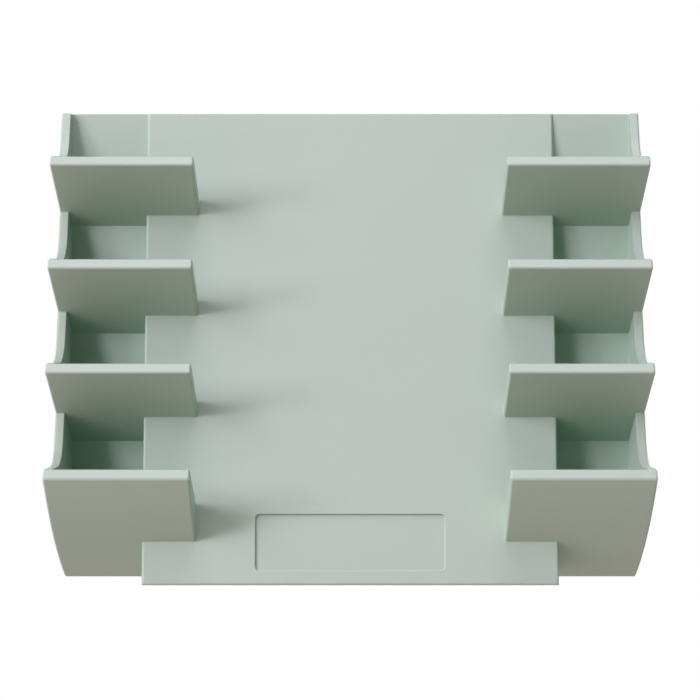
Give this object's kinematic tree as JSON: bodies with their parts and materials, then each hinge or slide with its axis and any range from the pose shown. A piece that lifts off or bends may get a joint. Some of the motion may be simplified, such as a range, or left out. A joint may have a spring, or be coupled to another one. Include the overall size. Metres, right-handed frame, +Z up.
{
  "type": "pen tray",
  "caption": "Magnetic wall tray for board markers: hollow sloping panel with slanted open pockets between scooped end walls, a screwed rear cover, disc magnets and grip pads.",
  "frame": {"origin": "on the board's surface, behind the middle of the tray", "axes": "+X to the right seen from the front, +Y back into the board, +Z up"},
  "size_m": [0.15, 0.0367, 0.121],
  "materials": {
    "moulding": "fine matt moulded texture, sage green",
    "cover": "fine matt moulded texture, sage green",
    "magnet": "nickel plated sintered magnet",
    "pad": "matt soft rubber",
    "screw": "zinc plated steel"
  },
  "bodies": {
    "root": {"tray_moulding": "moulding", "rear_cover": "cover", "magnet_top_left": "magnet", "magnet_bottom_left": "magnet", "magnet_top_right": "magnet", "magnet_bottom_right": "magnet", "grip_pad_top_left": "pad", "grip_pad_bottom_left": "pad", "grip_pad_top_right": "pad", "grip_pad_bottom_right": "pad", "cover_screws": "screw"}
  },
  "joints": []
}
